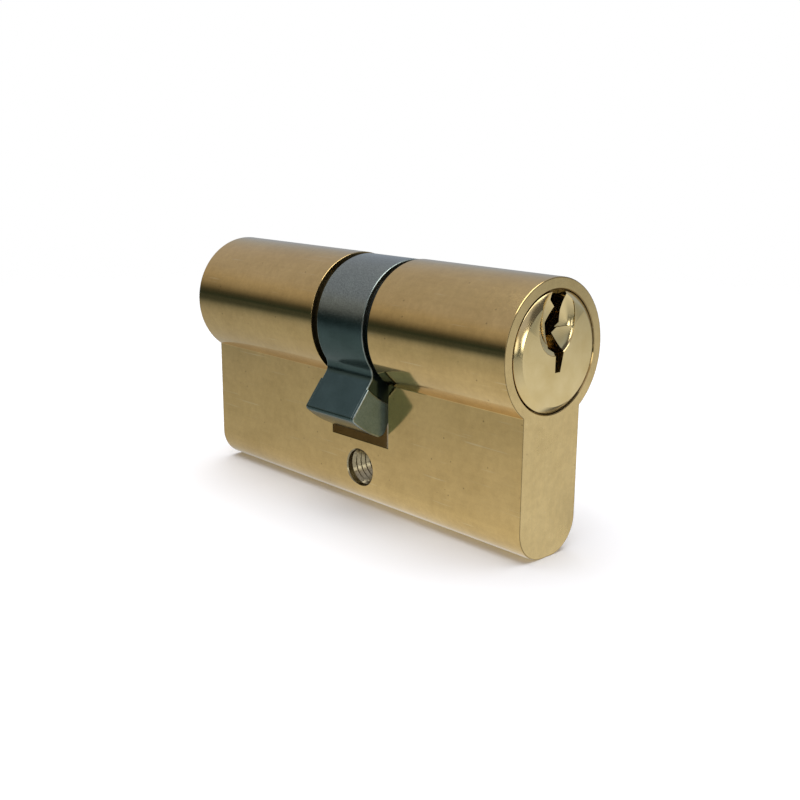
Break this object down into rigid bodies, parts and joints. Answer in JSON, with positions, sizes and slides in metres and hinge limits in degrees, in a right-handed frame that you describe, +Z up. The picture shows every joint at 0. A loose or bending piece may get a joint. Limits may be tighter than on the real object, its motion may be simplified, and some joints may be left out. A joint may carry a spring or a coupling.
{
  "type": "euro-profile double lock cylinder",
  "caption": "Double pin-tumbler lock cylinder of the euro profile: brass housing with a web, two keyed plugs, a steel cam with a tongue between them, and sprung pins inside.",
  "frame": {"origin": "centre of the fixing-screw hole, on the middle plane of the web", "axes": "+X along the cylinder towards its outside end, +Z up from the web to the barrel, -Y out of the front flank of the web"},
  "size_m": [0.06, 0.0187, 0.033],
  "materials": {
    "satin_brass": "extruded and fine-brushed, satin",
    "plug_brass": "turned, lightly polished",
    "blackened_steel": "sintered and blackened",
    "clip_steel": "stamped spring steel, oiled",
    "clutch_steel": "milled steel",
    "pin_brass": "turned brass",
    "driver_steel": "ground steel",
    "spring_steel": "drawn wire",
    "cap_brass": "pressed in and ground flush"
  },
  "bodies": {
    "housing": {"housing": "satin_brass", "outside_chamber_cap_1": "cap_brass", "outside_chamber_cap_2": "cap_brass", "outside_chamber_cap_3": "cap_brass", "outside_chamber_cap_4": "cap_brass", "outside_chamber_cap_5": "cap_brass", "outside_spring_1": "spring_steel", "outside_spring_2": "spring_steel", "outside_spring_3": "spring_steel", "outside_spring_4": "spring_steel", "outside_spring_5": "spring_steel", "inside_chamber_cap_1": "cap_brass", "inside_chamber_cap_2": "cap_brass", "inside_chamber_cap_3": "cap_brass", "inside_chamber_cap_4": "cap_brass", "inside_chamber_cap_5": "cap_brass", "inside_spring_1": "spring_steel", "inside_spring_2": "spring_steel", "inside_spring_3": "spring_steel", "inside_spring_4": "spring_steel", "inside_spring_5": "spring_steel"},
    "outside_plug": {"outside_plug": "plug_brass", "outside_clip": "clip_steel"},
    "inside_plug": {"inside_plug": "plug_brass", "inside_clip": "clip_steel"},
    "cam": {"cam": "blackened_steel"},
    "outside_clutch": {"outside_clutch": "clutch_steel"},
    "inside_clutch": {"inside_clutch": "clutch_steel"},
    "outside_key_pin_1": {"outside_key_pin_1": "pin_brass"},
    "outside_driver_pin_1": {"outside_driver_pin_1": "driver_steel"},
    "outside_key_pin_2": {"outside_key_pin_2": "pin_brass"},
    "outside_driver_pin_2": {"outside_driver_pin_2": "driver_steel"},
    "outside_key_pin_3": {"outside_key_pin_3": "pin_brass"},
    "outside_driver_pin_3": {"outside_driver_pin_3": "driver_steel"},
    "outside_key_pin_4": {"outside_key_pin_4": "pin_brass"},
    "outside_driver_pin_4": {"outside_driver_pin_4": "driver_steel"},
    "outside_key_pin_5": {"outside_key_pin_5": "pin_brass"},
    "outside_driver_pin_5": {"outside_driver_pin_5": "driver_steel"},
    "inside_key_pin_1": {"inside_key_pin_1": "pin_brass"},
    "inside_driver_pin_1": {"inside_driver_pin_1": "driver_steel"},
    "inside_key_pin_2": {"inside_key_pin_2": "pin_brass"},
    "inside_driver_pin_2": {"inside_driver_pin_2": "driver_steel"},
    "inside_key_pin_3": {"inside_key_pin_3": "pin_brass"},
    "inside_driver_pin_3": {"inside_driver_pin_3": "driver_steel"},
    "inside_key_pin_4": {"inside_key_pin_4": "pin_brass"},
    "inside_driver_pin_4": {"inside_driver_pin_4": "driver_steel"},
    "inside_key_pin_5": {"inside_key_pin_5": "pin_brass"},
    "inside_driver_pin_5": {"inside_driver_pin_5": "driver_steel"}
  },
  "joints": [
    {"name": "outside_plug_turn", "type": "hinge", "parent": "housing", "child": "outside_plug", "pos_m": [0.02, 0, 0.01895], "axis": [1, 0, 0], "range_deg": [-360, 270]},
    {"name": "inside_plug_turn", "type": "hinge", "parent": "housing", "child": "inside_plug", "pos_m": [-0.02, 0, 0.01895], "axis": [1, 0, 0], "range_deg": [-360, 270]},
    {"name": "cam_turn", "type": "hinge", "parent": "housing", "child": "cam", "pos_m": [0, 0, 0.01895], "axis": [1, 0, 0], "range_deg": [-360, 270]},
    {"name": "outside_clutch_shift", "type": "slide", "parent": "outside_plug", "child": "outside_clutch", "axis": [1, 0, 0], "range_m": [0, 0.002]},
    {"name": "inside_clutch_shift", "type": "slide", "parent": "inside_plug", "child": "inside_clutch", "axis": [1, 0, 0], "range_m": [0, 0.002]},
    {"name": "outside_driver_pin_1_slide", "type": "slide", "parent": "housing", "child": "outside_driver_pin_1", "axis": [0, 0, -1], "range_m": [-0.0035, 0], "stiffness_N_per_m": 250, "deforming": ["outside_spring_1"]},
    {"name": "outside_key_pin_1_slide", "type": "slide", "parent": "outside_plug", "child": "outside_key_pin_1", "axis": [0, 0, -1], "range_m": [-0.0035, 0]},
    {"name": "outside_driver_pin_2_slide", "type": "slide", "parent": "housing", "child": "outside_driver_pin_2", "axis": [0, 0, -1], "range_m": [-0.0023, 0], "stiffness_N_per_m": 250, "deforming": ["outside_spring_2"]},
    {"name": "outside_key_pin_2_slide", "type": "slide", "parent": "outside_plug", "child": "outside_key_pin_2", "axis": [0, 0, -1], "range_m": [-0.0023, 0]},
    {"name": "outside_driver_pin_3_slide", "type": "slide", "parent": "housing", "child": "outside_driver_pin_3", "axis": [0, 0, -1], "range_m": [-0.0031, 0], "stiffness_N_per_m": 250, "deforming": ["outside_spring_3"]},
    {"name": "outside_key_pin_3_slide", "type": "slide", "parent": "outside_plug", "child": "outside_key_pin_3", "axis": [0, 0, -1], "range_m": [-0.0031, 0]},
    {"name": "outside_driver_pin_4_slide", "type": "slide", "parent": "housing", "child": "outside_driver_pin_4", "axis": [0, 0, -1], "range_m": [-0.0015, 0], "stiffness_N_per_m": 250, "deforming": ["outside_spring_4"]},
    {"name": "outside_key_pin_4_slide", "type": "slide", "parent": "outside_plug", "child": "outside_key_pin_4", "axis": [0, 0, -1], "range_m": [-0.0015, 0]},
    {"name": "outside_driver_pin_5_slide", "type": "slide", "parent": "housing", "child": "outside_driver_pin_5", "axis": [0, 0, -1], "range_m": [-0.0027, 0], "stiffness_N_per_m": 250, "deforming": ["outside_spring_5"]},
    {"name": "outside_key_pin_5_slide", "type": "slide", "parent": "outside_plug", "child": "outside_key_pin_5", "axis": [0, 0, -1], "range_m": [-0.0027, 0]},
    {"name": "inside_driver_pin_1_slide", "type": "slide", "parent": "housing", "child": "inside_driver_pin_1", "axis": [0, 0, -1], "range_m": [-0.0035, 0], "stiffness_N_per_m": 250, "deforming": ["inside_spring_1"]},
    {"name": "inside_key_pin_1_slide", "type": "slide", "parent": "inside_plug", "child": "inside_key_pin_1", "axis": [0, 0, -1], "range_m": [-0.0035, 0]},
    {"name": "inside_driver_pin_2_slide", "type": "slide", "parent": "housing", "child": "inside_driver_pin_2", "axis": [0, 0, -1], "range_m": [-0.0023, 0], "stiffness_N_per_m": 250, "deforming": ["inside_spring_2"]},
    {"name": "inside_key_pin_2_slide", "type": "slide", "parent": "inside_plug", "child": "inside_key_pin_2", "axis": [0, 0, -1], "range_m": [-0.0023, 0]},
    {"name": "inside_driver_pin_3_slide", "type": "slide", "parent": "housing", "child": "inside_driver_pin_3", "axis": [0, 0, -1], "range_m": [-0.0031, 0], "stiffness_N_per_m": 250, "deforming": ["inside_spring_3"]},
    {"name": "inside_key_pin_3_slide", "type": "slide", "parent": "inside_plug", "child": "inside_key_pin_3", "axis": [0, 0, -1], "range_m": [-0.0031, 0]},
    {"name": "inside_driver_pin_4_slide", "type": "slide", "parent": "housing", "child": "inside_driver_pin_4", "axis": [0, 0, -1], "range_m": [-0.0015, 0], "stiffness_N_per_m": 250, "deforming": ["inside_spring_4"]},
    {"name": "inside_key_pin_4_slide", "type": "slide", "parent": "inside_plug", "child": "inside_key_pin_4", "axis": [0, 0, -1], "range_m": [-0.0015, 0]},
    {"name": "inside_driver_pin_5_slide", "type": "slide", "parent": "housing", "child": "inside_driver_pin_5", "axis": [0, 0, -1], "range_m": [-0.0027, 0], "stiffness_N_per_m": 250, "deforming": ["inside_spring_5"]},
    {"name": "inside_key_pin_5_slide", "type": "slide", "parent": "inside_plug", "child": "inside_key_pin_5", "axis": [0, 0, -1], "range_m": [-0.0027, 0]}
  ],
  "couplings": [
    {"joint": "cam_turn", "follows": "outside_plug_turn", "ratio": 1},
    {"joint": "inside_clutch_shift", "follows": "outside_clutch_shift", "ratio": 1},
    {"joint": "outside_key_pin_1_slide", "follows": "outside_driver_pin_1_slide", "ratio": 1},
    {"joint": "outside_key_pin_2_slide", "follows": "outside_driver_pin_2_slide", "ratio": 1},
    {"joint": "outside_key_pin_3_slide", "follows": "outside_driver_pin_3_slide", "ratio": 1},
    {"joint": "outside_key_pin_4_slide", "follows": "outside_driver_pin_4_slide", "ratio": 1},
    {"joint": "outside_key_pin_5_slide", "follows": "outside_driver_pin_5_slide", "ratio": 1},
    {"joint": "inside_key_pin_1_slide", "follows": "inside_driver_pin_1_slide", "ratio": 1},
    {"joint": "inside_key_pin_2_slide", "follows": "inside_driver_pin_2_slide", "ratio": 1},
    {"joint": "inside_key_pin_3_slide", "follows": "inside_driver_pin_3_slide", "ratio": 1},
    {"joint": "inside_key_pin_4_slide", "follows": "inside_driver_pin_4_slide", "ratio": 1},
    {"joint": "inside_key_pin_5_slide", "follows": "inside_driver_pin_5_slide", "ratio": 1}
  ]
}
